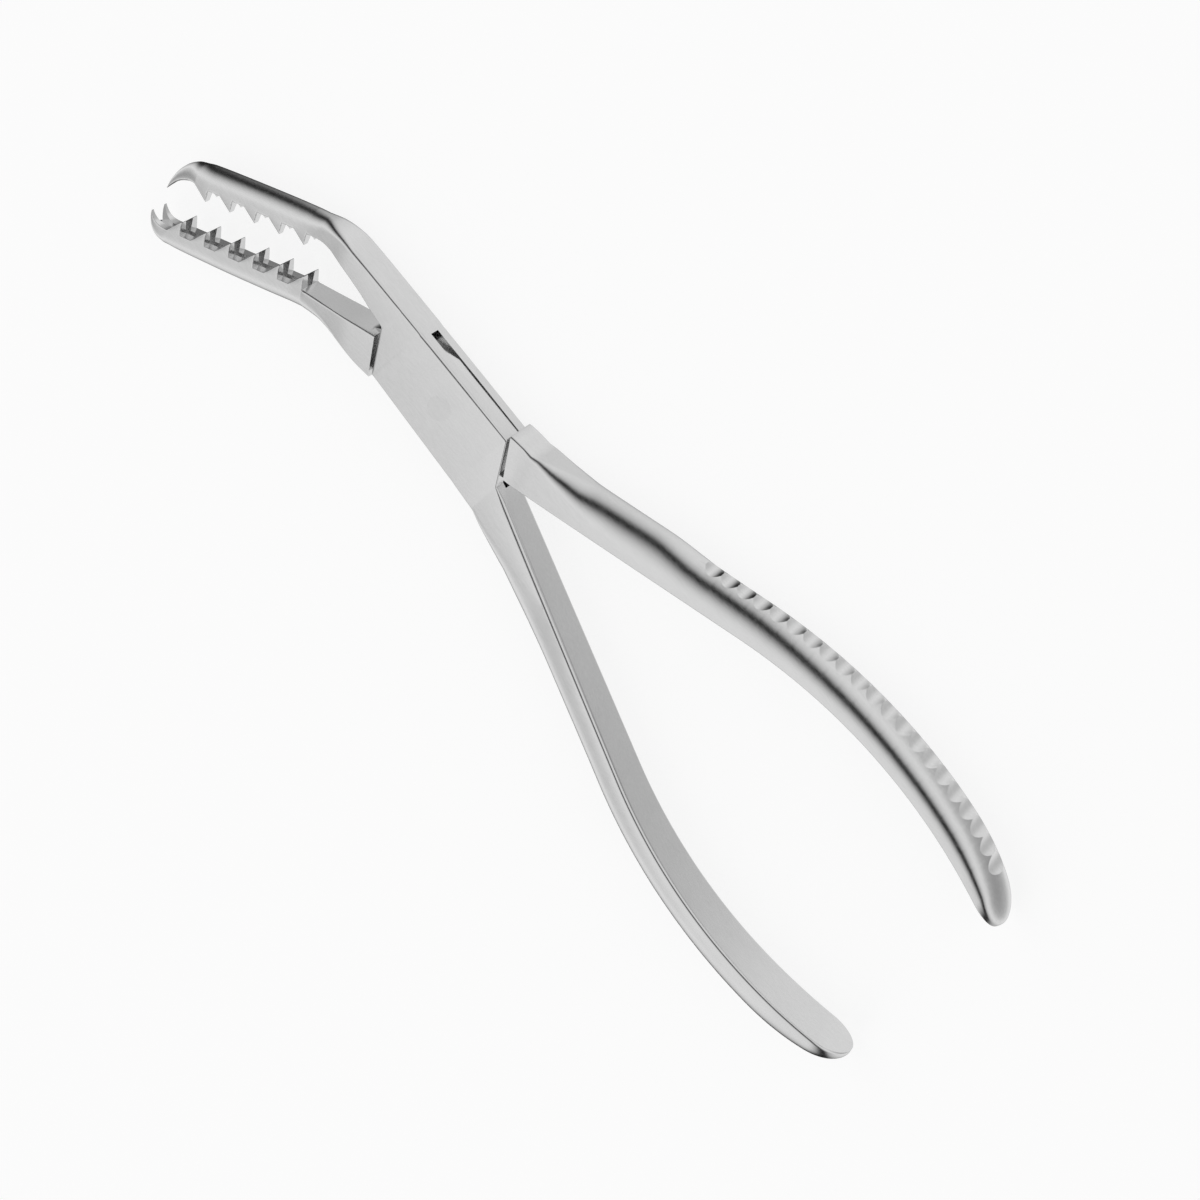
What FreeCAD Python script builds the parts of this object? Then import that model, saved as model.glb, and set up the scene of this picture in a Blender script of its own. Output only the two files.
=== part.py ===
import FreeCAD, Part
import math
import os
import Sketcher

# Box-joint holding pliers with toothed jaws, three solids:
#   box_arm     upper jaw with the beak, the box with its slot, and the lower handle
#   tongue_arm  lower jaw with the two prongs, the tongue in the slot, and the upper handle
#   pivot_pin   riveted through both cheeks of the box
# +X runs to the jaw tips, +Z along the pivot, and the lower cheek lies on Z = 0.
# Each piece is drawn about its middle plane in the closed position, and then placed:
# both arms and the pin are lifted by half the box, and the tongue arm is turned open.

doc = FreeCAD.newDocument("holding_pliers")

SIZES = (
    # box and joint
    ("box_thickness", 8.4),
    ("box_half_width", 7.5),
    ("cheek_end_x", 18.4),
    ("cheek_end_y", 1.3),
    ("cheek_corner_x", 13.0),
    ("cheek_corner_y", 7.4),
    ("slot_width", 2.7),
    ("slot_end_x", 11.8),
    ("slot_end_angle", 38.0),
    ("tongue_side_play", 0.05),
    ("shoulder_play", 0.12),
    ("pin_radius", 2.0),
    ("pin_play", 0.04),
    ("pin_head_radius", 2.5),
    ("pin_head_depth", 0.9),
    ("open_angle", 5.5),
    # jaws
    ("jaw_half_width", 3.2),
    ("jaw_body_depth", 4.3),
    ("tooth_pitch", 5.6),
    ("tooth_depth", 2.5),
    ("tooth_slope_run", 2.75),
    ("tooth_drop_run", 0.25),
    ("groove_width", 1.7),
    ("groove_depth", 0.9),
    ("prong_gap", 4.0),
    ("upper_jaw_angle", 30.5),
    ("upper_tooth_x", 61.3),
    ("upper_tooth_y", 10.55),
    ("upper_tooth_count", 5),
    ("lower_jaw_angle", 25.0),
    ("lower_tooth_x", 60.9),
    ("lower_tooth_y", 16.3),
    ("lower_tooth_count", 6),
    # handles
    ("handle_start_x", 18.4),
    ("handle_start_y", 0.95),
    ("lower_handle_angle", 19.4),
    ("lower_handle_straight", 63.8),
    ("upper_handle_angle", 15.0),
    ("upper_handle_straight", 59.2),
    ("handle_bend_radius", 109.0),
    ("handle_bend_angle", 36.5),
    ("handle_root_half_width", 4.35),
    ("handle_end_half_width", 5.95),
    ("handle_root_depth", 8.0),
    ("handle_end_depth", 6.3),
    ("handle_nose", 7.0),
    ("handle_taper", 17.0),
    ("scallop_count", 21),
    ("scallop_pitch", 3.68),
    ("scallop_depth", 0.6),
    ("scallop_start", 43.5),
)

sheet = doc.addObject("Spreadsheet::Sheet", "sizes")
for row, (alias, amount) in enumerate(SIZES, start=1):
    sheet.set(f"A{row}", alias)
    sheet.set(f"B{row}", str(amount))
    sheet.setAlias(f"B{row}", alias)
doc.recompute()


def size(alias):
    """The number that the sheet holds for this dimension."""
    return float(sheet.get(alias))


def amount_of(formula):
    """The value of an expression on the sheet's cells, in millimetres or as a plain number."""
    found = sheet.evalExpression(formula)
    return float(getattr(found, "Value", found))


def origin_plane(body, role):
    return next(plane for plane in body.Origin.OriginFeatures if plane.Role == role)


def new_body(label):
    body = doc.addObject("PartDesign::Body", label)
    body.Label = label
    return body


def new_sketch(body, name, place=None, role="XY_Plane"):
    """An empty sketch on one of the body's own origin planes, moved within it by place."""
    sketch = body.newObject("Sketcher::SketchObject", name)
    sketch.AttachmentSupport = [(origin_plane(body, role), "")]
    sketch.MapMode = "FlatFace"
    if place is not None:
        sketch.AttachmentOffset = place
    return sketch


def bind(sketch, constraint, formula):
    number = sketch.addConstraint(constraint)
    sketch.setExpression(f"Constraints[{number}]", formula)


def outline(sketch, corners):
    """A closed outline of straight edges; each corner is a pair of expressions."""
    spots = [FreeCAD.Vector(amount_of(x), amount_of(y), 0) for x, y in corners]
    count = len(spots)
    for index, spot in enumerate(spots):
        sketch.addGeometry(Part.LineSegment(spot, spots[(index + 1) % count]), False)
    for index in range(count):
        sketch.addConstraint(Sketcher.Constraint("Coincident", index, 2, (index + 1) % count, 1))
    for index, (x, y) in enumerate(corners):
        bind(sketch, Sketcher.Constraint("DistanceX", -1, 1, index, 1, spots[index].x), x)
        bind(sketch, Sketcher.Constraint("DistanceY", -1, 1, index, 1, spots[index].y), y)


def round_hole(sketch, radius):
    circle = sketch.addGeometry(Part.Circle(FreeCAD.Vector(0, 0, 0), FreeCAD.Vector(0, 0, 1),
                                            amount_of(radius)), False)
    sketch.addConstraint(Sketcher.Constraint("Coincident", circle, 3, -1, 1))
    bind(sketch, Sketcher.Constraint("Radius", circle, amount_of(radius)), radius)


def arched(sketch, half_width, depth, rise):
    """A section with a flat inner side on y = 0, two flanks, and a back arched by rise."""
    half = amount_of(half_width)
    deep = amount_of(depth)
    arch = amount_of(rise)
    radius_formula = f"(({rise}) ^ 2 + ({half_width}) ^ 2) / (2 * ({rise}))"
    radius = amount_of(radius_formula)
    shoulder = deep - arch
    lean = math.atan2(shoulder - (deep - radius), half)
    spots = [FreeCAD.Vector(-half, 0, 0), FreeCAD.Vector(half, 0, 0),
             FreeCAD.Vector(half, shoulder, 0), FreeCAD.Vector(-half, shoulder, 0)]
    circle = Part.Circle(FreeCAD.Vector(0, deep - radius, 0), FreeCAD.Vector(0, 0, 1), radius)
    sketch.addGeometry(Part.LineSegment(spots[0], spots[1]), False)
    sketch.addGeometry(Part.LineSegment(spots[1], spots[2]), False)
    sketch.addGeometry(Part.ArcOfCircle(circle, lean, math.pi - lean), False)
    sketch.addGeometry(Part.LineSegment(spots[3], spots[0]), False)
    for index in range(4):
        sketch.addConstraint(Sketcher.Constraint("Coincident", index, 2, (index + 1) % 4, 1))
    sketch.addConstraint(Sketcher.Constraint("Horizontal", 0))
    sketch.addConstraint(Sketcher.Constraint("Vertical", 1))
    sketch.addConstraint(Sketcher.Constraint("Vertical", 3))
    sketch.addConstraint(Sketcher.Constraint("Symmetric", 0, 1, 0, 2, -1, 1))
    bind(sketch, Sketcher.Constraint("DistanceX", 0, 1, 0, 2, 2 * half), f"2 * ({half_width})")
    bind(sketch, Sketcher.Constraint("DistanceY", 1, 1, 1, 2, shoulder),
         f"({depth}) - ({rise})")
    bind(sketch, Sketcher.Constraint("Radius", 2, radius), radius_formula)
    sketch.addConstraint(Sketcher.Constraint("Equal", 1, 3))


def pad(body, sketch, length):
    """A pad of this length, half to each side of the sketch."""
    feature = body.newObject("PartDesign::Pad", sketch.Name + "_pad")
    feature.Profile = sketch
    feature.Midplane = True
    feature.Length = amount_of(length)
    feature.setExpression("Length", length)
    return feature


def pocket(body, sketch, length, name=None):
    """A pocket of this length, half to each side of the sketch; it has to take metal away."""
    before = body.Shape.Volume
    feature = body.newObject("PartDesign::Pocket", name or sketch.Name + "_pocket")
    feature.Profile = sketch
    feature.Midplane = True
    feature.Length = amount_of(length)
    feature.setExpression("Length", length)
    doc.recompute()
    if not body.Shape.Volume < before - 0.01:
        raise RuntimeError(f"{feature.Name} cuts nothing")
    return feature


def across(spot, heading, flip=1):
    """The plane across a run at spot, whose heading is in degrees: the section's x is along Z,
    and its y points out of the flat inner side, to the left of the heading for flip 1."""
    turn = math.radians(heading)
    out = FreeCAD.Vector(-math.sin(turn) * flip, math.cos(turn) * flip, 0)
    wide = FreeCAD.Vector(0, 0, 1)
    turned = FreeCAD.Rotation(wide, out, wide.cross(out), "XYZ")
    return FreeCAD.Placement(FreeCAD.Vector(spot[0], spot[1], 0), turned)


def loft(body, name, sections, ruled=False):
    """A loft through arched sections: (plane, half width, depth, rise of the back)."""
    sketches = []
    for number, (place, half_width, depth, rise) in enumerate(sections):
        sketch = new_sketch(body, f"{name}_{number}", place)
        arched(sketch, half_width, depth, rise)
        sketches.append(sketch)
    feature = body.newObject("PartDesign::AdditiveLoft", name)
    feature.Profile = sketches[0]
    feature.Sections = sketches[1:]
    feature.Ruled = ruled
    before = body.Shape.Volume
    doc.recompute()
    if not body.Shape.Volume > before + 0.01:
        raise RuntimeError(f"{name} adds nothing: {feature.State} {feature.getStatusString()}")
    return feature


def handle_run(heading, straight):
    """Where the handle's inner face is at a distance along it, and its heading there.

    The face leaves the box in a straight line and then follows one arc.
    """
    start = (-size("handle_start_x"), size("handle_start_y"))
    radius = size("handle_bend_radius")

    def at(distance, side):
        along = math.radians(heading)
        x = min(distance, straight) * math.cos(along)
        y = min(distance, straight) * math.sin(along)
        swung = max(distance - straight, 0) / radius
        x += radius * (math.sin(along) - math.sin(along - swung))
        y += radius * (math.cos(along - swung) - math.cos(along))
        return (start[0] - x, start[1] + side * y), heading - math.degrees(swung)

    return at


def handle_length(straight):
    return straight + math.radians(size("handle_bend_angle")) * size("handle_bend_radius")


def rounded_off(distance, length, reach, least):
    """The share of its size that a handle keeps near its end: a quarter ellipse over reach."""
    return math.sqrt(max(1 - max(distance - length + reach, 0) ** 2 / reach ** 2, least))


def handle(body, name, heading, straight, side):
    """A handle: flat inside, arched outside, wider and thinner towards its rounded end."""
    at = handle_run(heading, straight)
    length = handle_length(straight)
    stations = [1, 12, 30, straight - 4, straight + 10, straight + 22, straight + 34]
    stations += [length - 24, length - 16, length - 9, length - 5, length - 2, length - 0.3]
    sections = []
    for distance in stations:
        spot, slope = at(distance, side)
        share = distance / length
        narrow = rounded_off(distance, length, size("handle_nose"), 0.01)
        thin = rounded_off(distance, length, size("handle_taper"), 0.02)
        half_width = ("(sizes.handle_root_half_width + (sizes.handle_end_half_width"
                      f" - sizes.handle_root_half_width) * {share:.3f}) * {narrow:.3f}")
        depth = ("(sizes.handle_root_depth + (sizes.handle_end_depth"
                 f" - sizes.handle_root_depth) * {share:.3f}) * {thin:.3f}")
        rise = f"min(0.9 * {half_width}; 0.65 * {depth})"
        # the run heads to -X, so its left is -Y: the outer side is there for side -1
        sections.append((across(spot, 180 - side * slope, -side), half_width, depth, rise))
    return loft(body, name, sections)


def teeth(body, name, place, lean, count):
    """A row of saw teeth right across the jaw; the drop faces the joint, lean gives its side."""
    sketch = new_sketch(body, name, place)
    outline(sketch, [(f"{-lean} * sizes.tooth_drop_run", "-0.5"),
                     (f"{-lean} * sizes.tooth_drop_run", "0"),
                     ("0", "sizes.tooth_depth"),
                     (f"{lean} * sizes.tooth_slope_run", "0"),
                     (f"{lean} * sizes.tooth_slope_run", "-0.5")])
    tooth = pad(body, sketch, "2 * sizes.jaw_half_width")
    doc.recompute()
    row = body.newObject("PartDesign::LinearPattern", name + "_row")
    row.Originals = [tooth]
    row.Direction = (sketch, ["H_Axis"])
    row.Reversed = lean > 0
    row.Length = size("tooth_pitch") * (size(count) - 1)
    row.setExpression("Length", f"sizes.tooth_pitch * (sizes.{count} - 1)")
    row.Occurrences = int(size(count))
    row.setExpression("Occurrences", f"sizes.{count}")
    body.Tip = row
    doc.recompute()
    return row


def groove(body, name, place, front, back):
    """The channel between the two rows of teeth, from front to back along the jaw."""
    sketch = new_sketch(body, name, place)
    floor = "-sizes.groove_depth"
    top = "sizes.tooth_depth + 1"
    outline(sketch, [(front, floor), (back, floor), (back, top), (front, top)])
    return pocket(body, sketch, "sizes.groove_width")


def scallops(body, name, heading, straight, side):
    """Hollows in a row down the handle's outer side, each an arc between two ridges."""
    at = handle_run(heading, straight)
    length = handle_length(straight)
    pitch = size("scallop_pitch")
    count = int(size("scallop_count"))

    def spot(distance, inset):
        (x, y), slope = at(distance, side)
        share = distance / length
        deep = size("handle_root_depth")
        deep += (size("handle_end_depth") - deep) * share
        deep *= rounded_off(distance, length, size("handle_taper"), 0)
        turn = math.radians(slope)
        return FreeCAD.Vector(x + (deep - inset) * math.sin(turn),
                              y + side * (deep - inset) * math.cos(turn), 0)

    sketch = new_sketch(body, name)
    first = size("scallop_start") - pitch / 2
    ridges = [spot(first + pitch * number, 0) for number in range(count + 1)]
    for number in range(count):
        hollow = spot(first + pitch * (number + 0.5), size("scallop_depth"))
        sketch.addGeometry(Part.ArcOfCircle(ridges[number], hollow, ridges[number + 1]), False)
    rim = [spot(first + pitch * count * share, -6) for share in (1, 0.66, 0.33, 0)]
    far_side = [ridges[-1]] + rim + [ridges[0]]
    for start, end in zip(far_side, far_side[1:]):
        sketch.addGeometry(Part.LineSegment(start, end), False)
    for number in range(sketch.GeometryCount):
        sketch.addConstraint(Sketcher.Constraint("Block", number))
    return pocket(body, sketch, "3 * sizes.handle_end_half_width")


def jaw_frame(alias, turn):
    """The jaw's own axes at the foot of its first tooth, turned by this many degrees."""
    spot = FreeCAD.Vector(size(f"{alias}_tooth_x"), size(f"{alias}_tooth_y"), 0)
    return FreeCAD.Placement(spot, FreeCAD.Rotation(FreeCAD.Vector(0, 0, 1), turn))


def pin_profile(sketch):
    """Half the pin's section: a straight shank with a flared head at each end."""
    head = "sizes.box_thickness / 2 - sizes.pin_head_depth"
    end = "sizes.box_thickness / 2"
    outline(sketch, [("0", f"-({end})"), ("sizes.pin_head_radius", f"-({end})"),
                     ("sizes.pin_radius", f"-({head})"), ("sizes.pin_radius", head),
                     ("sizes.pin_head_radius", end), ("0", end)])


# Box arm: the box, its slot and its pin hole, then the jaw, then the handle.
box_arm = new_body("box_arm")
cheeks = new_sketch(box_arm, "cheeks")
outline(cheeks, [
    ("30", "-sizes.box_half_width"),
    ("30", "-3"),
    ("sizes.cheek_end_x", "-sizes.cheek_end_y"),
    ("sizes.cheek_corner_x", "sizes.cheek_corner_y"),
    ("-8", "8.1"),
    ("-18.5", "8.7"),
    ("-34", "13"),
    ("-34", "7"),
    ("-sizes.handle_start_x", "sizes.handle_start_y"),
    ("-sizes.cheek_corner_x", "-sizes.cheek_corner_y"),
])
pad(box_arm, cheeks, "sizes.box_thickness")
doc.recompute()
handle(box_arm, "lower_handle", size("lower_handle_angle"), size("lower_handle_straight"), 1)
scallops(box_arm, "lower_scallops", size("lower_handle_angle"), size("lower_handle_straight"), 1)
loft(box_arm, "upper_jaw", [
    (across((24, -2.2), 0, -1), "4.2", "5.3", "0.5"),
    (across((31, -3.0), 5, -1), "4.1", "4.6", "1.3"),
    (across((37.5, -2.6), 18, -1), "3.7", "4.6", "2.4"),
    (across((42.0, -0.8), 30.5, -1), "sizes.jaw_half_width", "sizes.jaw_body_depth", "3"),
    (across((61.3, 10.55), 30.5, -1), "sizes.jaw_half_width", "3.9", "3"),
    (across((64.6, 12.6), 36, -1), "2.9", "3.6", "2.6"),
    (across((66.4, 14.9), 62, -1), "1.9", "2.5", "1.7"),
    (across((67.5, 17.2), 82, -1), "1.1", "1.5", "0.9"),
    (across((67.8, 19.4), 85, -1), "0.3", "0.5", "0.2"),
], ruled=True)
teeth(box_arm, "upper_tooth", jaw_frame("upper", size("upper_jaw_angle")), 1,
      "upper_tooth_count")
groove(box_arm, "upper_groove", jaw_frame("upper", size("upper_jaw_angle")), "3.2",
       "-sizes.tooth_pitch * (sizes.upper_tooth_count - 1) - 0.5")
slot = new_sketch(box_arm, "slot")
tangent = "tan(sizes.slot_end_angle * 1deg)"
outline(slot, [
    ("sizes.slot_end_x - 2", f"-sizes.box_half_width - 2 * {tangent}"),
    ("sizes.slot_end_x + 9", f"-sizes.box_half_width + 9 * {tangent}"),
    ("sizes.cheek_end_x + 2", "sizes.box_half_width + 3"),
    ("2 - sizes.slot_end_x", f"sizes.box_half_width + 2 * {tangent}"),
    ("-sizes.slot_end_x - 9", f"sizes.box_half_width - 9 * {tangent}"),
    ("-sizes.cheek_end_x - 2", "-sizes.box_half_width - 3"),
])
pocket(box_arm, slot, "sizes.slot_width")
pin_hole = new_sketch(box_arm, "pin_hole", role="XZ_Plane")
pin_profile(pin_hole)
hole = box_arm.newObject("PartDesign::Groove", "pin_hole_groove")
hole.Profile = pin_hole
hole.ReferenceAxis = (pin_hole, ["V_Axis"])
hole.Angle = 360
doc.recompute()

# Tongue arm: the tongue between two full-thickness shoulders, then the jaw, then the handle.
tongue_arm = new_body("tongue_arm")
tongue = new_sketch(tongue_arm, "tongue")
reach = "sizes.box_half_width - 0.05"
outline(tongue, [
    ("8.5", f"-({reach})"), ("12.4", "-6.4"), ("19.2", "-1.05"), ("22", "1"), ("15", "7"),
    ("-8.5", reach), ("-12.4", "6.4"), ("-19.2", "1.05"), ("-22", "-1"), ("-15", "-7"),
])
pad(tongue_arm, tongue, "sizes.slot_width - 2 * sizes.tongue_side_play")
jaw_root = new_sketch(tongue_arm, "jaw_root")
outline(jaw_root, [
    ("sizes.cheek_end_x + 1.2 * sizes.shoulder_play", "0.1 - sizes.cheek_end_y"),
    ("26", "1.7"), ("26", "6.8"), ("20", "7"),
    ("sizes.cheek_corner_x + 1.2 * sizes.shoulder_play", "sizes.cheek_corner_y"),
])
pad(tongue_arm, jaw_root, "sizes.box_thickness")
handle_root = new_sketch(tongue_arm, "handle_root")
outline(handle_root, [
    ("-sizes.cheek_end_x - 1.2 * sizes.shoulder_play", "sizes.handle_start_y - 0.2"),
    ("-30", "-2.2"), ("-30", "-9.8"), ("-22", "-8.2"),
    ("-sizes.cheek_corner_x - 1.2 * sizes.shoulder_play", "-sizes.cheek_corner_y"),
])
pad(tongue_arm, handle_root, "sizes.box_thickness")
doc.recompute()
handle(tongue_arm, "upper_handle", size("upper_handle_angle"), size("upper_handle_straight"), -1)
scallops(tongue_arm, "upper_scallops", size("upper_handle_angle"),
         size("upper_handle_straight"), -1)
loft(tongue_arm, "lower_jaw", [
    (across((21.2, 0.7), 4.5, 1), "4.2", "6", "0.5"),
    (across((29.4, 3.0), 14.5, 1), "3.9", "4.5", "1.5"),
    (across((35.55, 4.45), 23.5, 1), "3.4", "4.2", "2.6"),
    (across((50.77, 11.56), 25, 1), "sizes.jaw_half_width", "3.9", "3"),
    (across((62.4, 17.1), 25, 1), "sizes.jaw_half_width", "3.5", "2.7"),
    (across((65.2, 18.1), 12, 1), "3.1", "2.6", "1.9"),
], ruled=True)
prongs = new_sketch(tongue_arm, "prongs")
outline(prongs, [
    ("63.8", "18.1"), ("66.3", "18"), ("68.2", "16.7"), ("68.35", "18.4"), ("67.2", "19.9"),
    ("65.1", "20.5"),
])
pad(tongue_arm, prongs, "5.8")
doc.recompute()
lower_frame = jaw_frame("lower", 180 + size("lower_jaw_angle"))
teeth(tongue_arm, "lower_tooth", lower_frame, -1, "lower_tooth_count")
groove(tongue_arm, "lower_groove", lower_frame, "-9",
       "sizes.tooth_pitch * (sizes.lower_tooth_count - 1) + 0.5")
notch_place = across((66.8, 19.05), size("lower_jaw_angle"), 1)
notch = new_sketch(tongue_arm, "notch", notch_place)
outline(notch, [
    ("-sizes.groove_width / 2", "sizes.groove_depth"),
    ("-sizes.prong_gap / 2 - 0.5", "-3.5"),
    ("sizes.prong_gap / 2 + 0.5", "-3.5"),
    ("sizes.groove_width / 2", "sizes.groove_depth"),
])
pocket(tongue_arm, notch, "6")
bore = new_sketch(tongue_arm, "bore")
round_hole(bore, "sizes.pin_radius + sizes.pin_play")
pocket(tongue_arm, bore, "sizes.box_thickness")

# Pivot pin: a rivet whose flared heads are ground flush with the cheeks.
pivot_pin = new_body("pivot_pin")
rivet = new_sketch(pivot_pin, "rivet", role="XZ_Plane")
pin_profile(rivet)
turned = pivot_pin.newObject("PartDesign::Revolution", "rivet_turned")
turned.Profile = rivet
turned.ReferenceAxis = (rivet, ["V_Axis"])
turned.Angle = 360
doc.recompute()

# Every piece stands half the box above Z = 0, and the tongue arm is turned open.
for body in (box_arm, tongue_arm, pivot_pin):
    body.setExpression(".Placement.Base.z", "sizes.box_thickness / 2")
tongue_arm.Placement.Rotation = FreeCAD.Rotation(FreeCAD.Vector(0, 0, 1), size("open_angle"))
doc.recompute()

for thing in doc.Objects:
    if "Invalid" in thing.State or "Error" in thing.State:
        raise RuntimeError(f"{thing.Name} failed: {thing.State}")

os.makedirs("parts", exist_ok=True)
for body in (box_arm, tongue_arm, pivot_pin):
    shape = body.Shape
    if shape.isNull() or not shape.isValid() or len(shape.Solids) != 1:
        raise RuntimeError(f"{body.Label} is not one valid solid: {len(shape.Solids)} solids, "
                           f"valid {shape.isValid()}")
    box = shape.BoundBox
    print(f"{body.Label}: {shape.Volume:.1f} mm3, X {box.XMin:.1f} {box.XMax:.1f}, "
          f"Y {box.YMin:.1f} {box.YMax:.1f}, Z {box.ZMin:.1f} {box.ZMax:.1f}")
    shape.exportStep(f"parts/{body.Label}.step")
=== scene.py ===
import math

import bmesh
import bpy
import numpy as np
from mathutils import Matrix, Vector


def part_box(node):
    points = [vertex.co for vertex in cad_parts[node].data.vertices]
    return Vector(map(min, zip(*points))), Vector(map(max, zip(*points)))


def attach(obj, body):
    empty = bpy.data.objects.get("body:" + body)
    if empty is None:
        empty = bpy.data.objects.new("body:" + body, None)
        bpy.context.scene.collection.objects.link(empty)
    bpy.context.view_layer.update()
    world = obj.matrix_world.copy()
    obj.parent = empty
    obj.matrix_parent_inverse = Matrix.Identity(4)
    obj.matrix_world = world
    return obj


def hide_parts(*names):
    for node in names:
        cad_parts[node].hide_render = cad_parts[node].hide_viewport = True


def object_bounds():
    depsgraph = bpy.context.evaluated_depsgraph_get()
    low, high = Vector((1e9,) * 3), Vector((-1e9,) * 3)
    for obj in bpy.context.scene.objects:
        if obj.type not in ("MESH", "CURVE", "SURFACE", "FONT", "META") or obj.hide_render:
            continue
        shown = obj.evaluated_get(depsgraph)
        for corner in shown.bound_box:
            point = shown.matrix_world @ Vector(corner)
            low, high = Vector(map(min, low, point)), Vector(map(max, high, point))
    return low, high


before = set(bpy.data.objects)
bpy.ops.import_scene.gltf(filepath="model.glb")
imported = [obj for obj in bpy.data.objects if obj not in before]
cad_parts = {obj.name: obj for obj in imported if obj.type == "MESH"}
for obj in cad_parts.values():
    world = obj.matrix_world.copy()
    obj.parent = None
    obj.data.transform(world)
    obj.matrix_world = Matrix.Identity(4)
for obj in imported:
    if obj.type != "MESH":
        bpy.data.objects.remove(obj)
cad_low, cad_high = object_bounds()

# The box arm: one stainless forging that runs from the lower handle, through the box,
# to the upper jaw with its beak. The box is milled flat and slotted from side to side,
# the jaw is filed into two rows of teeth, and the handle's back is cut with scallops.

MM = 0.001
pin_low, pin_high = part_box("pivot_pin")
mid_z = (pin_low.z + pin_high.z) / 2 / MM
box_half = (pin_high.z - pin_low.z) / 2 / MM


def smooth(knots, values, at):
    """Values carried smoothly through the knots: each stretch is a cubic whose end slopes are
    the harmonic mean of the neighbouring chords, so it never swings past the knots."""
    knots, values = np.asarray(knots, float), np.asarray(values, float)
    at = np.clip(at, knots[0], knots[-1])
    values = values.reshape(len(knots), -1)
    step = np.diff(knots)
    chord = np.diff(values, axis=0) / step[:, None]
    before, after = chord[:-1], chord[1:]
    same_way = before * after > 0
    total = np.where(same_way, before + after, 1)
    inner = np.where(same_way, 2 * before * after / total, 0)
    slope = np.vstack([chord[:1], inner, chord[-1:]])
    cell = np.clip(np.searchsorted(knots, at, "right") - 1, 0, len(knots) - 2)
    t = ((at - knots[cell]) / step[cell])[:, None]
    size = step[cell][:, None]
    return (values[cell] * (1 + 2 * t) * (1 - t) ** 2 + values[cell + 1] * t * t * (3 - 2 * t)
            + slope[cell] * size * t * (1 - t) ** 2 - slope[cell + 1] * size * t * t * (1 - t))


def along(points, share):
    """Points on the smooth curve through these points, at shares of its chord length."""
    points = np.asarray(points, float)
    run = np.concatenate([[0], np.cumsum(np.linalg.norm(np.diff(points, axis=0), axis=1))])
    return smooth(run / run[-1], points, share)


def edge(run, drop, lean=0.0):
    """The run, drop and lean of an edge round at each station, as three columns."""
    return np.column_stack(np.broadcast_arrays(run, drop, lean))


ARC_STEPS = 12
CREST_STEPS = 6


def edge_profile(run, drop, lean, cut, half, groove, depth):
    """One edge of the section, from the flat top to the middle of the side wall.

    Inset is the distance in from the edge and height is the distance from the middle plane.
    The round is part of an ellipse, run deep and drop high, that starts lean degrees over:
    the inset falls with the sine of the turn, the height with its cosine.
    Nothing is nearer to the edge than cut, and a groove of that half width and depth may
    follow the middle of the wall.
    """
    start = np.radians(lean)
    span = 1 - np.sin(start)
    crest = np.arcsin(np.clip(np.sin(start) + span * (1 - cut / run), 0, math.sin(1.4)))
    first = np.linspace(0, 1, ARC_STEPS)
    second = np.linspace(0, 1, CREST_STEPS + 1)[1:]
    turn = np.concatenate([start[:, None] + (crest - start)[:, None] * first,
                           crest[:, None] + (math.pi / 2 - crest)[:, None] * second], axis=1)
    inset = run[:, None] * (1 - (np.sin(turn) - np.sin(start)[:, None]) / span[:, None])
    inset = np.maximum(inset, cut[:, None])
    height = (half[:, None] - drop[:, None] * (np.cos(start)[:, None] - np.cos(turn))
              / np.cos(start)[:, None])
    lip = np.minimum(groove, height[:, -1])
    inset = np.column_stack([inset, cut, depth + cut, depth + cut])
    height = np.column_stack([height, lip, lip, np.zeros_like(lip)])
    return inset, height


def rings(right, left, half, right_edge, left_edge, right_cut, left_cut, right_groove,
          left_groove):
    """The arm's skin as rings of points, one ring at each station along it.

    At a station the section lies on the line from the right edge to the left edge: a flat
    top and bottom at half the thickness, with an edge profile at each side.
    """
    across = left - right
    width = np.linalg.norm(across, axis=1)
    across = across / width[:, None]
    inset_r, height_r = edge_profile(*right_edge.T, right_cut, half, *right_groove.T)
    inset_l, height_l = edge_profile(*left_edge.T, left_cut, half, *left_groove.T)
    reach = np.concatenate([inset_r[:, ::-1], width[:, None] - inset_l], axis=1)
    height = np.concatenate([height_r[:, ::-1], height_l], axis=1)
    reach = np.concatenate([reach, reach[:, -2:0:-1]], axis=1)
    height = np.concatenate([height, -height[:, -2:0:-1]], axis=1)
    flat = right[:, None, :] + reach[:, :, None] * across[:, None, :]
    return np.concatenate([flat, mid_z + height[:, :, None]], axis=2)


def skin(name, ring_points):
    """A closed mesh over the rings, in metres, joined by four-sided faces; both ends capped."""
    count, around = ring_points.shape[:2]
    index = np.arange(count * around).reshape(count, around)
    here, there = index[:-1], index[1:]
    faces = np.stack([here, np.roll(here, -1, 1), np.roll(there, -1, 1), there], axis=2)
    faces = faces.reshape(-1, 4).tolist()
    faces += [index[0, ::-1].tolist(), index[-1].tolist()]
    mesh = bpy.data.meshes.new(name)
    mesh.from_pydata((ring_points.reshape(-1, 3) * MM).tolist(), [], faces)
    return mended(mesh)


def mended(mesh):
    """The mesh with its doubles merged, faces of no area dropped and normals outwards."""
    work = bmesh.new()
    work.from_mesh(mesh)
    bmesh.ops.remove_doubles(work, verts=work.verts, dist=2e-6)
    bmesh.ops.dissolve_degenerate(work, edges=work.edges, dist=1e-6)
    bmesh.ops.recalc_face_normals(work, faces=work.faces)
    work.to_mesh(mesh)
    work.free()
    return mesh


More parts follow.
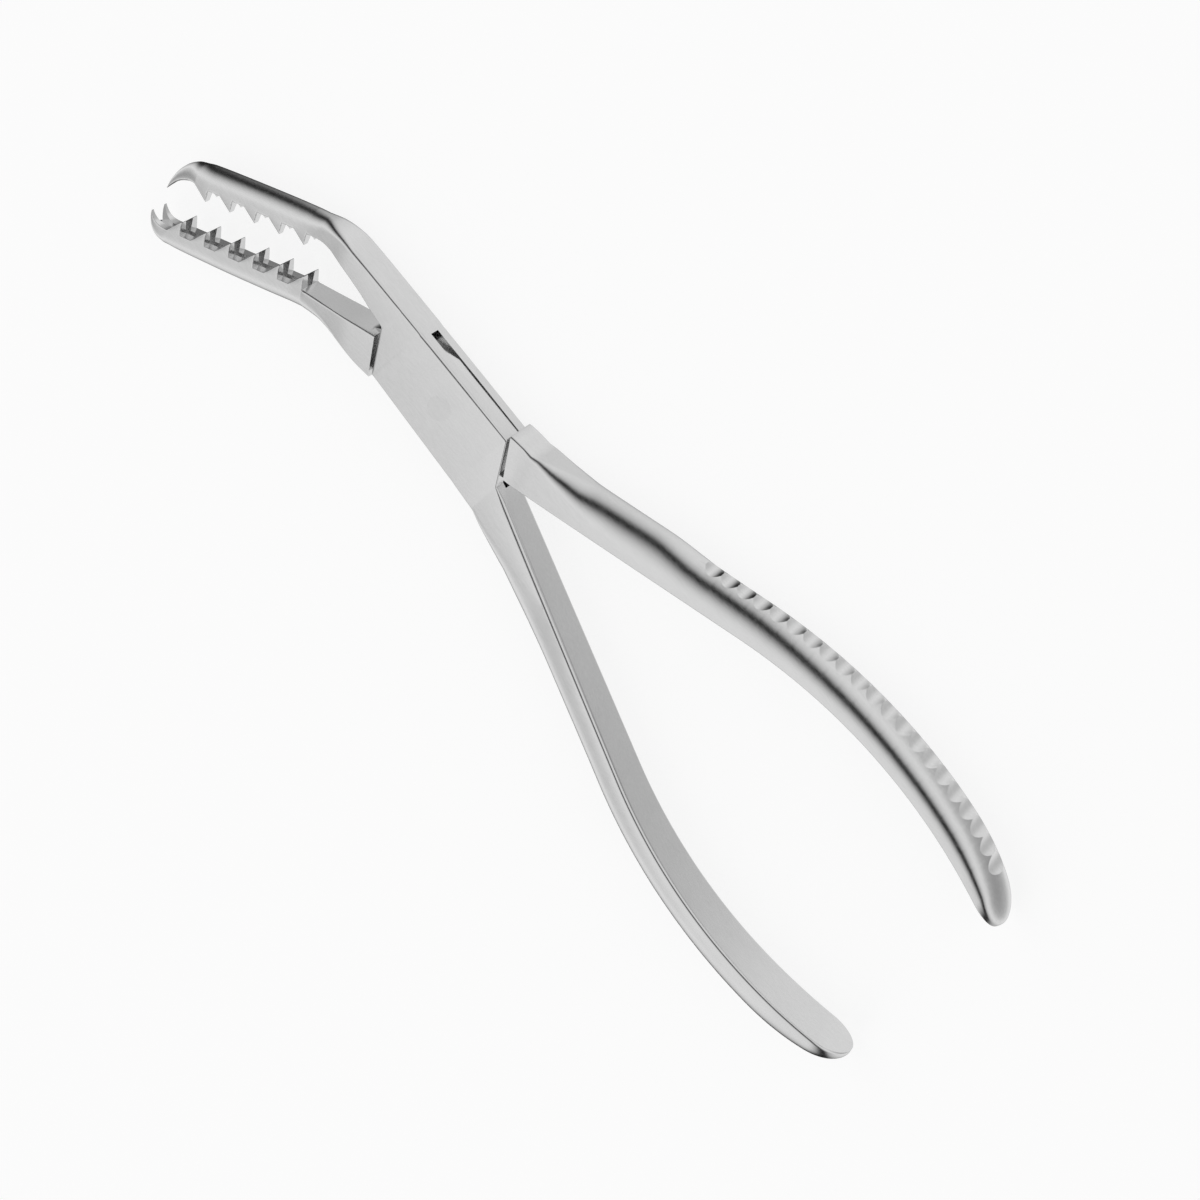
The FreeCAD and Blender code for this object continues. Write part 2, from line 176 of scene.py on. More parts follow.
def block(name, outline, low, high, axes=np.eye(3), origin=(0, 0, 0)):
    """A closed block: an outline in millimetres along the first two axes, from low to high
    along the third, all measured from the origin."""
    outline = np.asarray(outline, float)
    count = len(outline)
    spots = np.vstack([np.column_stack([outline, np.full(count, low)]),
                       np.column_stack([outline, np.full(count, high)])])
    spots = (spots @ np.asarray(axes, float) + origin) * MM
    ring = np.arange(count)
    faces = np.stack([ring, np.roll(ring, -1), np.roll(ring, -1) + count, ring + count], axis=1)
    faces = faces.tolist() + [ring[::-1].tolist(), (ring + count).tolist()]
    mesh = bpy.data.meshes.new(name)
    mesh.from_pydata(spots.tolist(), [], faces)
    return mended(mesh)


ROUND_STEPS = 96


def turned(name, radii, heights):
    """A solid of revolution about the pivot: a ring of each radius at each height."""
    angle = np.linspace(0, 2 * math.pi, ROUND_STEPS, endpoint=False)
    circle = np.stack([np.cos(angle), np.sin(angle)], axis=1)
    flat = np.asarray(radii)[:, None, None] * circle
    heights = np.asarray(heights, float)[:, None, None]
    high = np.broadcast_to(heights, (len(radii), ROUND_STEPS, 1))
    return skin(name, np.concatenate([flat, high], axis=2))


def piece(name, mesh):
    """A new object of that name, with the mesh, in the scene."""
    made = bpy.data.objects.new(name, mesh)
    bpy.context.scene.collection.objects.link(made)
    return made


def worked(body, tool_mesh, operation):
    """The body after the tool solid is joined to it or cut from it."""
    tool = piece("tool", tool_mesh)
    step = body.modifiers.new("work", "BOOLEAN")
    step.operation = operation
    step.solver = "EXACT"
    step.object = tool
    view = bpy.context.evaluated_depsgraph_get()
    body.data = mended(bpy.data.meshes.new_from_object(body.evaluated_get(view)))
    body.modifiers.remove(step)
    bpy.data.objects.remove(tool)
    return body


def handle_line(start, slope, straight, radius, side, distance):
    """The handle's inner face: a straight run from the box, then one arc bent inwards.

    Returns the points at these distances from the box, and there the unit normals that point
    to the back. A chord of the arc is as long as the difference of its sines and cosines.
    """
    lean = math.radians(slope)
    run = np.minimum(distance, straight)
    turn = lean - np.maximum(distance - straight, 0) / radius
    x = run * math.cos(lean) + radius * (math.sin(lean) - np.sin(turn))
    y = run * math.sin(lean) + radius * (np.cos(turn) - math.cos(lean))
    points = np.column_stack([start[0] - x, start[1] + side * y])
    return points, np.column_stack([np.sin(turn), side * np.cos(turn)])


SCALLOPS = 21
SCALLOP_PITCH = 3.68
SCALLOP_START = 43.5
SCALLOP_DEPTH = 0.7
SCALLOP_STEPS = 8
NOSE = 7.0
TAPER = 21.0
TIP_DEPTH = 0.12
TIP_HALF = 0.03


def handle_stations(length):
    """Distances along the handle: even steps, finer over the scallops and the rounded end."""
    first = SCALLOP_START - SCALLOP_PITCH / 2
    last = first + SCALLOPS * SCALLOP_PITCH
    cuts = np.linspace(first, last, SCALLOPS * SCALLOP_STEPS + 1)
    nose = length - NOSE * (1 - np.sin(np.linspace(0, math.pi / 2, 22)))
    return np.unique(np.concatenate([np.arange(3, first - 0.5, 1.6), cuts,
                                     np.linspace(last + 0.4, length - NOSE - 0.4, 5), nose]))


def scallop(distance):
    """How deep the cut is: in each pitch an arc that falls from one ridge to the next."""
    place = (distance - SCALLOP_START) / SCALLOP_PITCH + 0.5
    share = 2 * (place - np.floor(place)) - 1
    cut = SCALLOP_DEPTH * (1 - share ** 2)
    return np.where((place > 0) & (place < SCALLOPS), np.maximum(cut, 0.0), 0.0)


def rounded_off(distance, length, reach):
    """The share of its size that the handle keeps near its end: a quarter ellipse."""
    beyond = np.clip((distance - length + reach) / reach, 0, 1)
    return np.sqrt(1 - beyond ** 2)


def handle_section(distance, x, length, depth_knots, depth_values, run_knots, run_values):
    """Depth, half width, edge profile of the round back and scallop cut along a handle."""
    tail = rounded_off(distance, length, TAPER)
    depth = smooth(depth_knots, depth_values, distance)[:, 0]
    depth = depth * (TIP_DEPTH + (1 - TIP_DEPTH) * tail)
    half = smooth([18, 32, 130], [box_half, box_half + 0.33, box_half + 1.6], -x)[:, 0]
    half = half * np.maximum(rounded_off(distance, length, NOSE), TIP_HALF)
    run_share = smooth(run_knots, run_values, distance)[:, 0]
    drop = half * np.clip((run_share - 0.06) / 0.5, 0.11, 1)
    return depth, half, run_share * depth, drop, scallop(distance) * np.clip(tail * 2, 0, 1)


# Lower handle, from its tip to the box.
LOWER_LENGTH = 132.4
d = handle_stations(LOWER_LENGTH)
inner, out = handle_line(start=(-18.6, 0.9), slope=19.43, straight=61.8, radius=108.2, side=1,
                         distance=d)
depth, half, run, drop, cut = handle_section(
    d, inner[:, 0], LOWER_LENGTH,
    depth_knots=[0, 3, 8, 16, 36, 60, 130],
    depth_values=[7.4, 7.5, 7.85, 8.0, 7.2, 6.9, 6.9],
    run_knots=[0, 3, 10, 18, 27, 40, 130],
    run_values=[0.05, 0.1, 0.35, 0.62, 0.9, 0.86, 0.8])
lean = smooth([0, 3, 17, 27, 45], [0, 8, 12, 8, 0], d)[:, 0]
count = len(d)
soft = (smooth([0, 4, 60, 130], [0.45, 1.0, 0.8, 0.6], d)[:, 0]
        * np.maximum(rounded_off(d, LOWER_LENGTH, NOSE), TIP_HALF))
order = np.arange(count)[::-1]
lower_handle = dict(
    right=inner[order], left=(inner + depth[:, None] * out)[order], half=half[order],
    right_edge=edge(soft, soft)[order], left_edge=edge(run, drop, lean)[order],
    right_cut=np.zeros(count), left_cut=cut[order])

# Box: pairs of spots on the -Y and the +Y edge, then the half thickness, and the run and
# drop of the two edge rounds.
box_knots = np.array([
    (-18.4, 1.1, -18.6, 8.93, 4.2, 0.35, 0.3, 0.5, 0.4),
    (-18.2, 0.75, -18.1, 8.86, 4.2, 0.5, 0.3, 0.45, 0.4),
    (-13.4, -7.0, -13.0, 8.45, 4.2, 0.5, 0.3, 0.35, 0.35),
    (-13.2, -7.3, -12.6, 8.4, 4.2, 0.45, 0.35, 0.35, 0.35),
    (-12.8, -7.35, -12.2, 8.35, 4.2, 0.5, 0.5, 0.35, 0.35),
    (0.0, -7.5, 0.0, 7.75, 4.2, 0.7, 0.7, 0.35, 0.35),
    (12.5, -7.5, 12.7, 7.1, 4.2, 0.7, 0.7, 0.35, 0.35),
    (12.9, -7.5, 13.5, 7.1, 4.2, 0.55, 0.55, 0.35, 0.3),
    (13.3, -7.5, 13.75, 6.95, 4.2, 0.55, 0.55, 1.0, 0.45),
    (18.2, -7.5, 18.65, -1.0, 4.2, 0.6, 0.6, 0.8, 0.4),
    (18.6, -7.5, 18.85, -1.35, 4.2, 0.55, 0.55, 0.35, 0.3),
    (19.0, -7.5, 19.05, -1.5, 4.2, 0.55, 0.55, 0.25, 0.25),
])
box_share = np.arange(len(box_knots), dtype=float)
at = np.unique(np.concatenate([box_share, np.linspace(4, 6, 9), np.linspace(1, 2, 4),
                               np.linspace(8, 9, 4)]))
box = np.column_stack([np.interp(at, box_share, column) for column in box_knots.T])

# Neck and upper jaw: the jaw has its own axes at the tip of the first tooth, heading along
# the row of tips. A groove down the middle parts the teeth into two rows.
JAW_SLOPE = math.radians(30.5)
PITCH = 5.6
UPPER_TOOTH = 2.45
TIP_FLAT = 0.06
DROP_RUN = 0.3
SLOPE_RUN = 2.75
FOOT = DROP_RUN + 0.01
GROOVE_HALF = 0.85
GROOVE_FLARE = 0.45
GROOVE_DEPTH = 0.9
heading = np.array([math.cos(JAW_SLOPE), math.sin(JAW_SLOPE)])
rise = np.array([-math.sin(JAW_SLOPE), math.cos(JAW_SLOPE)])
neck_share = np.linspace(0, 1, 26)
neck_right = along([(19.0, -7.5), (24, -7.5), (30, -7.5), (34, -7.5), (37, -7.3), (39.6, -6.8),
                    (42.2, -5.75)], neck_share)
neck_left = along([(19.05, -1.5), (22.4, -1.9), (26.9, -2.6), (32.8, -3.1), (36, -3.25),
                   (38.3, -2.9), (40.4, -1.9)], neck_share)
reach_x = neck_left[:, 0]
neck_half = smooth([18, 32, 37, 41], [4.2, 4.2, 3.75, 3.35], reach_x)[:, 0]
neck_run = smooth([18, 27, 31, 34, 37, 40.4], [0.6, 0.7, 0.85, 1.1, 1.6, 3.3], reach_x)[:, 0]
neck_drop = smooth([18, 27, 31, 34, 37, 40.4], [0.6, 0.7, 0.9, 1.3, 2.2, 3.3], reach_x)[:, 0]


def teeth(spots, tips, tall):
    """Tooth height along the jaw: a steep side towards the joint, a slope towards the tip."""
    flanks = []
    for tip in tips:
        knots = [tip - DROP_RUN, tip - TIP_FLAT, tip + TIP_FLAT, tip + SLOPE_RUN]
        flanks.append(np.interp(spots, knots, [0, tall, tall, 0]))
    return np.max(flanks, axis=0)


def tooth_stations(tips):
    """Stations at each tooth's feet and tip, and between them, along the jaw."""
    offsets = np.array([-DROP_RUN - 0.02, -DROP_RUN, -TIP_FLAT, TIP_FLAT, 0.7, 1.4, 2.1,
                        SLOPE_RUN, SLOPE_RUN + 0.02, SLOPE_RUN + 1.1])
    return np.sort((np.asarray(tips)[:, None] + offsets).ravel())


upper_tips = PITCH * np.arange(5)
spots = tooth_stations(upper_tips)[:-1]
tall = teeth(spots, upper_tips, UPPER_TOOTH)
share = tall / UPPER_TOOTH
crown = smooth([-3, 3, 15.5, 23.5, 26], [6.95, 7.05, 6.85, 6.55, 6.1], spots)[:, 0]
jaw_start = np.array([40.7, 1.3])
jaw_right = jaw_start + spots[:, None] * heading - crown[:, None] * rise
jaw_left = jaw_start + spots[:, None] * heading - (UPPER_TOOTH - tall)[:, None] * rise
jaw_half = smooth([-1, 2, 22, 26], [3.3, 3.2, 3.2, 3.05], spots)[:, 0]
body = crown - UPPER_TOOTH

# Beak: it curls up and narrows to a point between the prongs.
beak_knots = np.array([
    (*jaw_right[-1], *jaw_left[-1], jaw_half[-1]),
    (67.0, 9.9, 64.7, 12.5, 2.75),
    (68.15, 12.2, 65.6, 13.4, 2.3),
    (68.55, 14.8, 66.7, 15.0, 1.7),
    (68.45, 17.0, 67.4, 16.9, 1.05),
    (68.1, 18.7, 67.75, 18.6, 0.5),
    (67.95, 19.3, 67.85, 19.3, 0.2),
])
beak = along(beak_knots, np.linspace(0, 1, 26))[1:]
beak_width = np.linalg.norm(beak[:, 0:2] - beak[:, 2:4], axis=1)

stations = dict(
    right=np.vstack([lower_handle["right"], box[:, 0:2], neck_right[1:], jaw_right, beak[:, 0:2]]),
    left=np.vstack([lower_handle["left"], box[:, 2:4], neck_left[1:], jaw_left, beak[:, 2:4]]),
    half=np.concatenate([lower_handle["half"], box[:, 4], neck_half[1:], jaw_half, beak[:, 4]]),
    right_edge=np.vstack([
        lower_handle["right_edge"],
        edge(box[:, 5], box[:, 6]),
        edge(neck_run, neck_drop)[1:],
        edge(0.74 * body, jaw_half),
        edge(0.72 * beak_width, beak[:, 4])]),
    left_edge=np.vstack([
        lower_handle["left_edge"],
        edge(box[:, 7], box[:, 8]),
        edge(0.25 + 0 * neck_run, 0.25)[1:],
        edge(0.9 + 1.8 * share, 0.3 + 0.3 * share),
        edge(0.24 * beak_width, 0.25 * beak[:, 4])]))
none = np.zeros(len(stations["half"]))
left_cut = none.copy()
left_cut[:count] = lower_handle["left_cut"]
no_groove = np.column_stack([none + GROOVE_HALF, none])
left_groove = no_groove.copy()
jaw_first = count + len(box) + len(neck_half) - 1
jaw_at = slice(jaw_first, jaw_first + len(spots))
left_groove[jaw_at, 0] = GROOVE_HALF + GROOVE_FLARE * share
left_groove[jaw_at, 1] = np.where(spots > upper_tips[0] - FOOT, GROOVE_DEPTH, 0) + tall
box_arm = piece("box_arm_steel", skin("box_arm_steel", rings(
    right_cut=none, left_cut=left_cut, right_groove=no_groove, left_groove=left_groove,
    **stations)))

# The slot for the tongue, open at both sides, and the pin's hole, countersunk at both faces.
SLOT_HALF = 1.35
SLOT_SLANT = math.tan(math.radians(38))
SINK_DEPTH = 0.9
SINK_OVERRUN = 0.18
slot_outline = [(9.8, -7.5 - 2 * SLOT_SLANT), (20.8, -7.5 + 9 * SLOT_SLANT), (20.4, 10.5),
                (-9.8, 7.5 + 2 * SLOT_SLANT), (-20.8, 7.5 - 9 * SLOT_SLANT), (-20.4, -10.5)]
worked(box_arm, block("slot", slot_outline, mid_z - SLOT_HALF, mid_z + SLOT_HALF), "DIFFERENCE")
top_z = pin_high.z / MM
hole_radii = [2.6, 2.5, 2.0, 2.0, 2.5, 2.6]
hole_heights = [-SINK_OVERRUN, 0, SINK_DEPTH, top_z - SINK_DEPTH, top_z, top_z + SINK_OVERRUN]
worked(box_arm, turned("pin_hole", hole_radii, hole_heights), "DIFFERENCE")
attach(box_arm, "box_arm")
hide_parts("box_arm")


def satin_group():
    """Grain of ground stainless steel from Object coordinates.

    The grain is half fine scratches along the part (noise stretched along X) and half grit.
    It gives the height and the roughness; the shade is four parts grain to one part mottle.
    """
    group = bpy.data.node_groups.new("satin_grain", "ShaderNodeTree")
    for title, kind, way in (("Scratch Scale", "NodeSocketFloat", "INPUT"),
                             ("Roughness Low", "NodeSocketFloat", "INPUT"),
                             ("Roughness High", "NodeSocketFloat", "INPUT"),
                             ("Shade", "NodeSocketFloat", "OUTPUT"),
                             ("Roughness", "NodeSocketFloat", "OUTPUT"),
                             ("Height", "NodeSocketFloat", "OUTPUT")):
        group.interface.new_socket(name=title, in_out=way, socket_type=kind)
    nodes, links = group.nodes, group.links
    given = nodes.new("NodeGroupInput")
    result = nodes.new("NodeGroupOutput")
    place = nodes.new("ShaderNodeTexCoord")
    stretch = nodes.new("ShaderNodeMapping")
    stretch.inputs["Scale"].default_value = (0.2, 1, 1)
    links.new(place.outputs["Object"], stretch.inputs["Vector"])
    scratch = nodes.new("ShaderNodeTexNoise")
    scratch.inputs["Detail"].default_value = 3
    links.new(stretch.outputs["Vector"], scratch.inputs["Vector"])
    links.new(given.outputs["Scratch Scale"], scratch.inputs["Scale"])
    mottle = nodes.new("ShaderNodeTexNoise")
    mottle.inputs["Scale"].default_value = 180
    mottle.inputs["Detail"].default_value = 4
    links.new(place.outputs["Object"], mottle.inputs["Vector"])
    grit = nodes.new("ShaderNodeTexNoise")
    grit.inputs["Scale"].default_value = 5200
    grit.inputs["Detail"].default_value = 2
    links.new(place.outputs["Object"], grit.inputs["Vector"])
    both = nodes.new("ShaderNodeMix")
    both.inputs["Factor"].default_value = 0.5
    links.new(scratch.outputs["Fac"], both.inputs[2])
    links.new(grit.outputs["Fac"], both.inputs[3])
    rough = nodes.new("ShaderNodeMapRange")
    rough.inputs["From Min"].default_value = 0.35
    rough.inputs["From Max"].default_value = 0.65
    links.new(both.outputs[0], rough.inputs["Value"])
    links.new(given.outputs["Roughness Low"], rough.inputs["To Min"])
    links.new(given.outputs["Roughness High"], rough.inputs["To Max"])
    shade = nodes.new("ShaderNodeMix")
    shade.inputs["Factor"].default_value = 0.8
    links.new(mottle.outputs["Fac"], shade.inputs[2])
    links.new(both.outputs[0], shade.inputs[3])
    links.new(shade.outputs[0], result.inputs["Shade"])
    links.new(rough.outputs["Result"], result.inputs["Roughness"])
    links.new(both.outputs[0], result.inputs["Height"])
    return group


grain = satin_group()


def steel(name, dark, light, low, high, scale, bump):
    """Stainless steel: a metal whose colour, roughness and bump follow the satin grain."""
    material = bpy.data.materials.new(name)
    material.use_nodes = True
    nodes, links = material.node_tree.nodes, material.node_tree.links
    shader = nodes["Principled BSDF"]
    shader.inputs["Metallic"].default_value = 1.0
    satin = nodes.new("ShaderNodeGroup")
    satin.node_tree = grain
    satin.inputs["Scratch Scale"].default_value = scale
    satin.inputs["Roughness Low"].default_value = low
    satin.inputs["Roughness High"].default_value = high
    tone = nodes.new("ShaderNodeValToRGB")
    tone.color_ramp.elements[0].position = 0.35
    tone.color_ramp.elements[0].color = (*dark, 1)
    tone.color_ramp.elements[1].position = 0.65
    tone.color_ramp.elements[1].color = (*light, 1)
    links.new(satin.outputs["Shade"], tone.inputs["Fac"])
    links.new(tone.outputs["Color"], shader.inputs["Base Color"])
    links.new(satin.outputs["Roughness"], shader.inputs["Roughness"])
    relief = nodes.new("ShaderNodeBump")
    relief.inputs["Strength"].default_value = bump
    relief.inputs["Distance"].default_value = 0.02 * MM
    links.new(satin.outputs["Height"], relief.inputs["Height"])
    links.new(relief.outputs["Normal"], shader.inputs["Normal"])
    return material


SHARP_ANGLE = math.radians(24)


def finished(part, material):
    """The part in that one material, shaded smooth except where faces meet sharply."""
    part.data.materials.clear()
    part.data.materials.append(material)
    part.data.shade_smooth()
    part.data.set_sharp_from_angle(angle=SHARP_ANGLE)


SMOOTHEST = 0.13
ROUGHEST = 0.21
SCRATCH_SCALE = 2600
RELIEF = 0.25
satin_steel = steel("satin_steel", (0.7, 0.7, 0.7), (0.77, 0.77, 0.77), SMOOTHEST, ROUGHEST,
                    SCRATCH_SCALE, RELIEF)
finished(box_arm, satin_steel)

# The tongue arm: the other forging, from the upper handle, through the tongue that lies in
# the box's slot, to the lower jaw with its two prongs. Its full-thickness shoulders are
# filed to meet the ends of the box's cheeks.

# Upper handle, from its tip to the root beside the box.
UPPER_LENGTH = 128.3
d = handle_stations(UPPER_LENGTH)
inner, out = handle_line(start=(-18.4, -0.8), slope=20.52, straight=54.7, radius=110.8, side=-1,
                         distance=d)
depth, half, run, drop, cut = handle_section(
    d, inner[:, 0], UPPER_LENGTH,
    depth_knots=[0, 20, 32, 45, 62, 90, 127],
    depth_values=[8.1, 8.1, 8.1, 7.1, 6.8, 6.5, 6.1],
    run_knots=[0, 4, 10, 20, 34, 130],
    run_values=[0.08, 0.14, 0.38, 0.66, 0.8, 0.72])
order = np.arange(len(d))[::-1]
soft = 0.4 * np.maximum(rounded_off(d, UPPER_LENGTH, NOSE), TIP_HALF)
root_knots = np.array([
    (-16.4, -9.3, -20.3, -1.5),
    (-14.8, -9.1, -19.3, -1.2),
    (-13.5, -8.85, -18.5, -1.0),
    (-13.0, -8.65, -18.3, -0.95),
])
root_none = np.zeros(len(root_knots))
root_soft = np.array([0.35, 0.35, 0.35, 0.3])
right_cut = np.concatenate([cut[order], root_none])
none = 0 * right_cut
no_groove = np.column_stack([none + GROOVE_HALF, none])
upper_handle = skin("upper_handle", rings(
    right=np.vstack([(inner + depth[:, None] * out)[order], root_knots[:, 0:2]]),
    left=np.vstack([inner[order], root_knots[:, 2:4]]),
    half=np.concatenate([half[order], box_half + root_none]),
    right_edge=np.vstack([edge(run, drop)[order], edge(root_soft + 0.25, root_soft + 0.25)]),
    left_edge=np.vstack([edge(soft, soft)[order], edge(root_soft, root_soft)]),
    right_cut=right_cut, left_cut=none, right_groove=no_groove, left_groove=no_groove))

# Lower jaw: root with the shoulder, six pairs of teeth, then the hooked end.
lower_start = np.array([51.0, 14.6])
LOWER_TOOTH = 2.6
root_share = np.linspace(0, 1, 26)
root_right = along([(18.55, 0.95), (22.3, 2.5), (27.3, 4.7), (31, 6.3), (34.4, 7.75)],
                   root_share)
root_left = along([(13.65, 8.05), (17.7, 8.6), (23.3, 8.9), (28, 9.8), (30.4, 10.75),
                   (32.15, 11.6)], root_share)
root_x = root_right[:, 0]
root_half = smooth([18, 24, 30, 35], [4.2, 4.2, 3.75, 3.3], root_x)[:, 0]
root_run = smooth([18, 22, 26, 30, 34.4], [0.4, 0.5, 1.0, 2.4, 4.0], root_x)[:, 0]
root_drop = smooth([18, 22, 26, 30, 34.4], [0.4, 0.5, 1.1, 2.5, 3.2], root_x)[:, 0]
HOOK_START = 14.2
lower_tips = -17.1 + PITCH * np.arange(6)
spots = tooth_stations(lower_tips)
spots = spots[spots < HOOK_START]
tall = teeth(spots, lower_tips, LOWER_TOOTH)
share = tall / LOWER_TOOTH
crown = smooth([-18, -15, -9, -2.7, 5, 11, 14.5], [6.97, 6.88, 6.95, 6.95, 6.8, 6.6, 6.3],
               spots)[:, 0]
low_right = lower_start + spots[:, None] * heading + (LOWER_TOOTH - tall - 0.1)[:, None] * rise
low_left = lower_start + spots[:, None] * heading + crown[:, None] * rise
low_half = smooth([-18, -14, 12, 15], [3.3, 3.2, 3.2, 3.15], spots)[:, 0]
hook_knots = np.array([
    (14.3, 2.48, 14.6, 6.3, 3.12),
    (15.5, 2.3, 16.2, 5.75, 3.05),
    (16.6, 1.75, 17.5, 4.6, 2.95),
    (17.3, 1.0, 18.15, 3.1, 2.85),
    (17.7, 0.35, 18.3, 1.6, 2.75),
    (17.85, -0.05, 18.1, 0.2, 2.65),
])
hook = along(hook_knots, np.linspace(0, 1, 18))
hook_right = lower_start + hook[:, 0:1] * heading + hook[:, 1:2] * rise
hook_left = lower_start + hook[:, 2:3] * heading + hook[:, 3:4] * rise
hook_width = np.linalg.norm(hook_right - hook_left, axis=1)
body = crown - LOWER_TOOTH
none = np.zeros(len(root_share) + len(spots) + len(hook))
no_groove = np.column_stack([none + GROOVE_HALF, none])
right_groove = no_groove.copy()
jaw_at = slice(len(root_share), len(root_share) + len(spots))
right_groove[jaw_at, 0] = GROOVE_HALF + GROOVE_FLARE * share
right_groove[jaw_at, 1] = np.where(spots > lower_tips[0] - FOOT, GROOVE_DEPTH, 0) + tall
right_groove[-len(hook):, 1] = np.minimum(GROOVE_DEPTH, 0.5 * hook_width)
lower_jaw = skin("lower_jaw", rings(
    right=np.vstack([root_right, low_right, hook_right]),
    left=np.vstack([root_left, low_left, hook_left]),
    half=np.concatenate([root_half, low_half, hook[:, 4]]),
    right_edge=np.vstack([
        edge(0.5 + 0 * root_run, 0.5),
        edge(0.12 + 2.2 * share, 0.12 + 0.4 * share),
        edge(0.12 * hook_width, 0.12)]),
    left_edge=np.vstack([
        edge(root_run, root_drop),
        edge(0.93 * body, low_half),
        edge(0.8 * hook_width, 0.98 * hook[:, 4])]),
    right_cut=none, left_cut=none, right_groove=right_groove, left_groove=no_groove))

# Tongue: a thin plate about the pivot, the same when half turned, set open by 5.5 degrees.
# A notch across the hooked end leaves the two prongs.
OPEN = math.radians(5.5)
TONGUE_HALF = 1.3
BORE_RADIUS = 2.04
turn = np.array([[math.cos(OPEN), math.sin(OPEN)], [-math.sin(OPEN), math.cos(OPEN)]])
tongue_outline = np.array([(4, -7.7), (9.5, -7.2), (12.4, -6.4), (19.2, -1.05), (22, 1),
                           (15, 5.75)])
tongue_outline = np.vstack([tongue_outline, -tongue_outline]) @ turn
tongue_arm = piece("tongue_arm_steel", block("tongue", tongue_outline, mid_z - TONGUE_HALF,
                                             mid_z + TONGUE_HALF))
worked(tongue_arm, upper_handle, "UNION")
worked(tongue_arm, turned("bore", [BORE_RADIUS, BORE_RADIUS], [0, top_z]), "DIFFERENCE")
worked(tongue_arm, lower_jaw, "UNION")
jaw_axes = np.array([[heading[0], heading[1], 0], [0, 0, 1], [rise[0], rise[1], 0]])
notch_outline = [(14.8, -0.85), (14.8, 0.85), (20, 2.9), (20, -2.9)]
notch = block("notch", notch_outline, -2, 3.3, jaw_axes, (*lower_start, mid_z))
worked(tongue_arm, notch, "DIFFERENCE")
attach(tongue_arm, "tongue_arm")
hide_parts("tongue_arm")
finished(tongue_arm, satin_steel)

# The pivot pin: a stainless rivet on which the tongue turns. It is cut from round bar, its
# ends are peened into the countersinks of the two cheeks and it is ground flush with them.
# Its solid of the frame is kept as it is.
pivot_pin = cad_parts["pivot_pin"]
pivot_pin.data.materials.clear()
pivot_pin.data.materials.append(
    steel("pin_steel", (0.68, 0.68, 0.68), (0.75, 0.75, 0.75), SMOOTHEST, ROUGHEST,
          SCRATCH_SCALE, RELIEF))

# Floor, light and camera: the part lies flat on a bright paper sheet in a soft studio. The
# room's brightness depends only on how far a direction leans towards STRIP_SIDE; each stop
# holds the cosine of that angle and the brightness there. The camera sees a plain white room.
STRIP_SIDE = (0.649, 0.658, 0.38)
STOPS = ((-1, 0.38), (-0.85, 0.54), (-0.76, 0.66), (-0.68, 0.8), (-0.5, 0.88), (-0.33, 0.78),
         (-0.2, 0.6), (-0.13, 0.5), (-0.05, 0.25), (0.01, 0.08), (0.06, 0.02), (0.16, 0.02),
         (0.23, 0.12), (0.33, 0.38), (0.44, 0.64), (0.56, 0.84), (0.67, 0.93), (0.76, 0.78),
         (0.88, 0.62), (1, 0.4))
world = bpy.data.worlds.new("studio")
bpy.context.scene.world = world
world.use_nodes = True
nodes = world.node_tree.nodes
links = world.node_tree.links
nodes.clear()
direction = nodes.new("ShaderNodeTexCoord")
cosine = nodes.new("ShaderNodeVectorMath")
cosine.operation = "DOT_PRODUCT"
cosine.inputs[1].default_value = STRIP_SIDE
links.new(direction.outputs["Generated"], cosine.inputs[0])
ramp_place = nodes.new("ShaderNodeMapRange")
ramp_place.inputs["From Min"].default_value = -1
links.new(cosine.outputs["Value"], ramp_place.inputs["Value"])
ramp = nodes.new("ShaderNodeValToRGB")
for index, (cosine_at, level) in enumerate(STOPS):
    if index < 2:
        stop = ramp.color_ramp.elements[index]
        stop.position = (cosine_at + 1) / 2
    else:
        stop = ramp.color_ramp.elements.new((cosine_at + 1) / 2)
    stop.color = (level, level, level, 1)
links.new(ramp_place.outputs["Result"], ramp.inputs["Fac"])
room = nodes.new("ShaderNodeBackground")
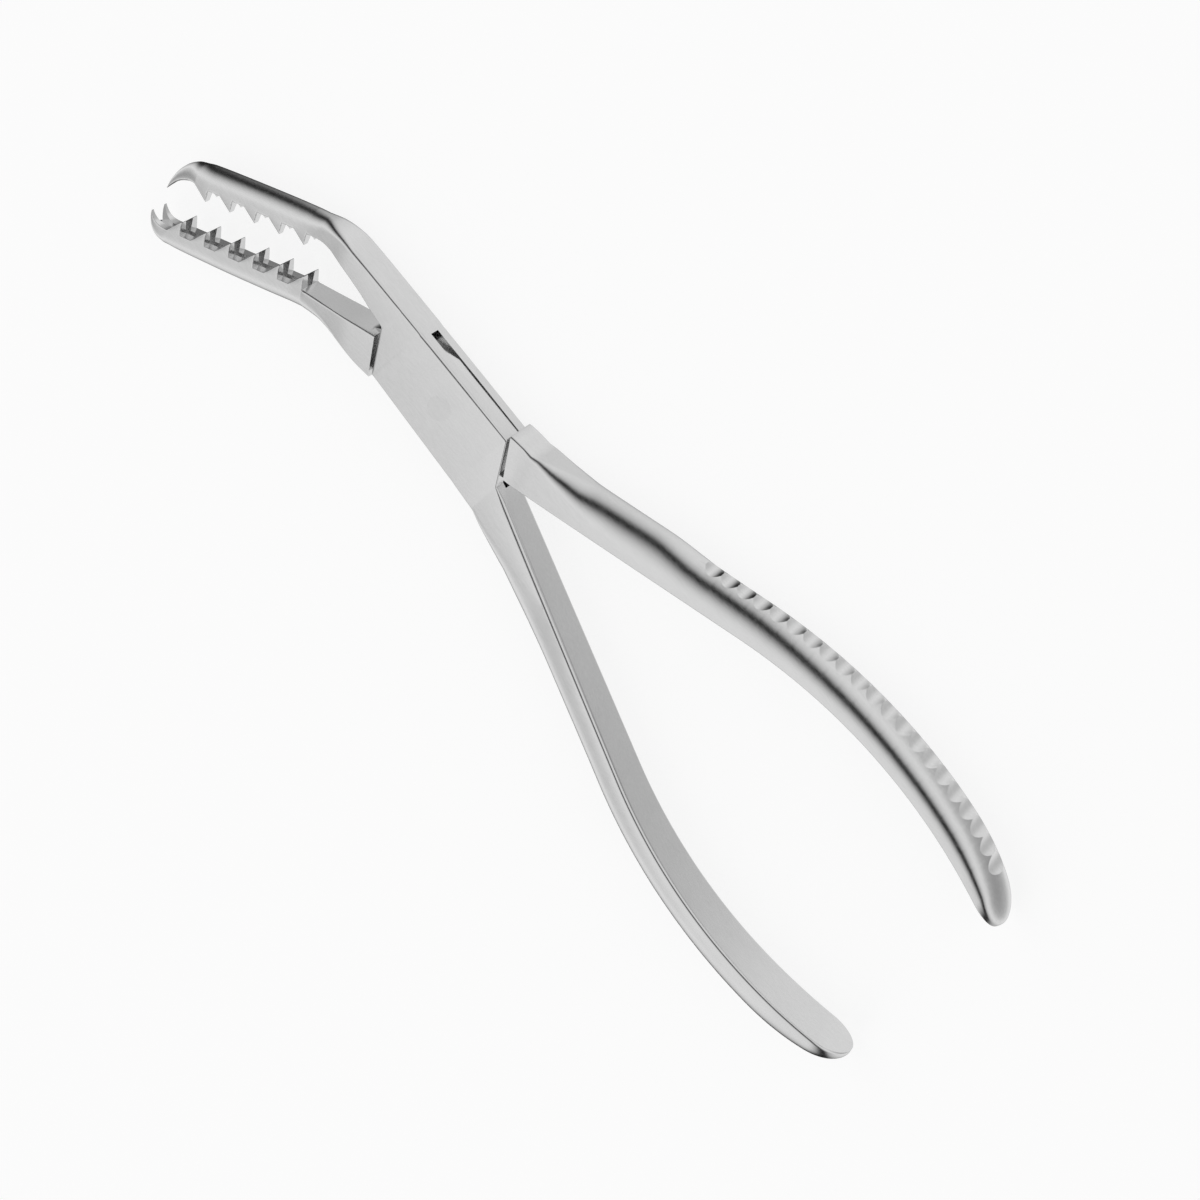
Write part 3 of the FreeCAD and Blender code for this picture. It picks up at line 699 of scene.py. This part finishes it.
links.new(ramp.outputs["Color"], room.inputs["Color"])
plain = nodes.new("ShaderNodeBackground")
plain.inputs["Color"].default_value = (0.92, 0.92, 0.92, 1)
ray = nodes.new("ShaderNodeLightPath")
pick = nodes.new("ShaderNodeMixShader")
links.new(ray.outputs["Is Camera Ray"], pick.inputs["Fac"])
links.new(room.outputs["Background"], pick.inputs[1])
links.new(plain.outputs["Background"], pick.inputs[2])
end = nodes.new("ShaderNodeOutputWorld")
links.new(pick.outputs["Shader"], end.inputs["Surface"])

FLOOR_HALF = 3000
FLOOR_THICK = 5
floor_top = cad_low.z / MM
floor_outline = [(-FLOOR_HALF, -FLOOR_HALF), (FLOOR_HALF, -FLOOR_HALF),
                 (FLOOR_HALF, FLOOR_HALF), (-FLOOR_HALF, FLOOR_HALF)]
floor = piece("floor", block("floor", floor_outline, floor_top - FLOOR_THICK, floor_top))
paper = bpy.data.materials.new("paper")
paper.use_nodes = True
shader = paper.node_tree.nodes["Principled BSDF"]
shader.inputs["Base Color"].default_value = (0.3, 0.3, 0.3, 1)
shader.inputs["Roughness"].default_value = 0.9
shader.inputs["Specular IOR Level"].default_value = 0.1
shader.inputs["Emission Color"].default_value = (1, 1, 1, 1)
shader.inputs["Emission Strength"].default_value = 0.8
floor.data.materials.append(paper)
floor.visible_glossy = False
floor.visible_diffuse = False
floor.visible_shadow = False

CAMERA_SPOT = (-0.0509, -0.3495, 0.5368)
CAMERA_BACK = (-0.00530, -0.55055, 0.83479)
CAMERA_UP = (0.77595, -0.52884, -0.34385)
camera = bpy.data.objects.new("camera", bpy.data.cameras.new("camera"))
bpy.context.scene.collection.objects.link(camera)
camera.data.lens = 100
camera.data.clip_start = 0.01
back = Vector(CAMERA_BACK).normalized()
side = Vector(CAMERA_UP).cross(back).normalized()
up = back.cross(side)
turned_to = Matrix((side, up, back)).transposed()
camera.matrix_world = Matrix.LocRotScale(Vector(CAMERA_SPOT), turned_to, None)
bpy.context.scene.camera = camera
bpy.context.scene.view_settings.view_transform = "Standard"
